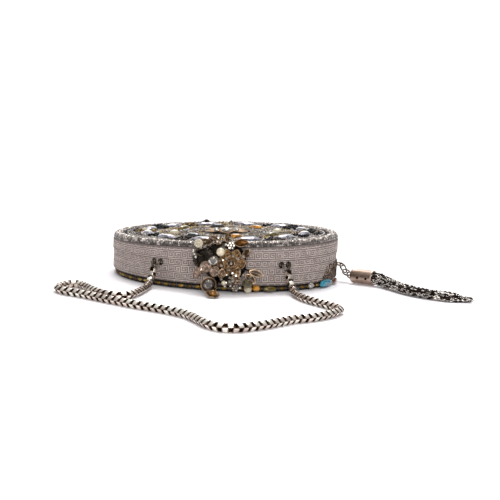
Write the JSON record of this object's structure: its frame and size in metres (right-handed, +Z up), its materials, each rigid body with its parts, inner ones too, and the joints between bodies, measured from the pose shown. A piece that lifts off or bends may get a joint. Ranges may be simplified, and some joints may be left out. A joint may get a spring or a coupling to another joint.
{
  "type": "clutch bag",
  "caption": "Round hard box clutch with jacquard wall, beaded faces, jewelled clasp ornament, box-chain strap laid in front and a chain tassel at its side.",
  "frame": {"origin": "centre of the flat underside, on the surface the bag lies on", "axes": "+Z up out of the top face, -Y to the front with the clasp ornament, +X to the tassel side"},
  "size_m": [0.2994, 0.3343, 0.0429],
  "materials": {
    "wall_cloth": "metallic jacquard, grey and silver, satin",
    "panel_cloth": "grey ground cloth under embroidery, matte",
    "silver_beads": "silver seed beads, polished",
    "gold_beads": "gold and brown seed beads, polished",
    "nickel": "warm nickel plating, polished",
    "gunmetal": "gunmetal plating, polished",
    "dark_chain": "fine dark chain, polished",
    "antique_metal": "antiqued silver and bronze, worn",
    "pearl": "imitation pearl, glossy",
    "clear_stone": "clear cut glass, polished",
    "lilac_stone": "pale lilac cut glass, foil backed",
    "amber_stone": "amber cut glass, polished",
    "olive_stone": "olive cut glass, polished",
    "turquoise_stone": "turquoise glass, polished",
    "russet_stone": "russet glass, polished",
    "smoke_stone": "smoke grey cut glass, polished"
  },
  "bodies": {
    "base": {"lower_shell": "wall_cloth", "bottom_panel": "panel_cloth", "bottom_border": "gold_beads", "bottom_stone_1": "pearl", "bottom_stone_2": "amber_stone", "bottom_stone_3": "olive_stone", "bottom_stone_4": "smoke_stone", "bottom_stone_5": "clear_stone", "bottom_stone_6": "turquoise_stone", "bottom_stone_7": "russet_stone", "eyelet_left_outer": "gunmetal", "eyelet_left_inner": "gunmetal", "eyelet_right_inner": "gunmetal", "eyelet_right_outer": "gunmetal", "strap_loop_left": "gunmetal", "strap_loop_right": "gunmetal", "tassel_loop": "gunmetal", "tassel_ring_upper": "gunmetal", "tassel_ring_lower": "gunmetal", "hinge_base": "gunmetal", "hinge_pin": "gunmetal", "strap_chain": "nickel", "tassel_cap": "nickel", "tassel_fringe": "dark_chain"},
    "lid": {"upper_shell": "wall_cloth", "top_panel": "panel_cloth", "top_border": "silver_beads", "top_stone_01": "lilac_stone", "top_stone_02": "lilac_stone", "top_stone_03": "lilac_stone", "top_stone_04": "lilac_stone", "top_stone_05": "lilac_stone", "top_stone_06": "lilac_stone", "top_stone_07": "lilac_stone", "top_stone_08": "lilac_stone", "top_stone_09": "lilac_stone", "top_stone_10": "lilac_stone", "top_stone_11": "lilac_stone", "top_stone_12": "lilac_stone", "top_accent_1": "amber_stone", "top_accent_2": "olive_stone", "top_accent_3": "pearl", "top_accent_4": "amber_stone", "top_accent_5": "smoke_stone", "top_accent_6": "olive_stone", "top_accent_7": "pearl", "top_accent_8": "smoke_stone", "top_flower": "antique_metal", "ornament_frame": "antique_metal", "ornament_pearl": "pearl", "ornament_oval_stone": "clear_stone", "ornament_cup_stone": "clear_stone", "ornament_amber_bead": "amber_stone", "ornament_olive_stone": "olive_stone", "ornament_small_pearl": "pearl", "ornament_bead_cluster": "pearl", "clasp_catch": "gunmetal", "hinge_lid": "gunmetal"}
  },
  "joints": [
    {"name": "lid_hinge", "type": "hinge", "parent": "base", "child": "lid", "pos_m": [0, 0.093, 0.02226], "axis": [-0.9997, 0, -0.0248], "range_deg": [0, 80]}
  ]
}
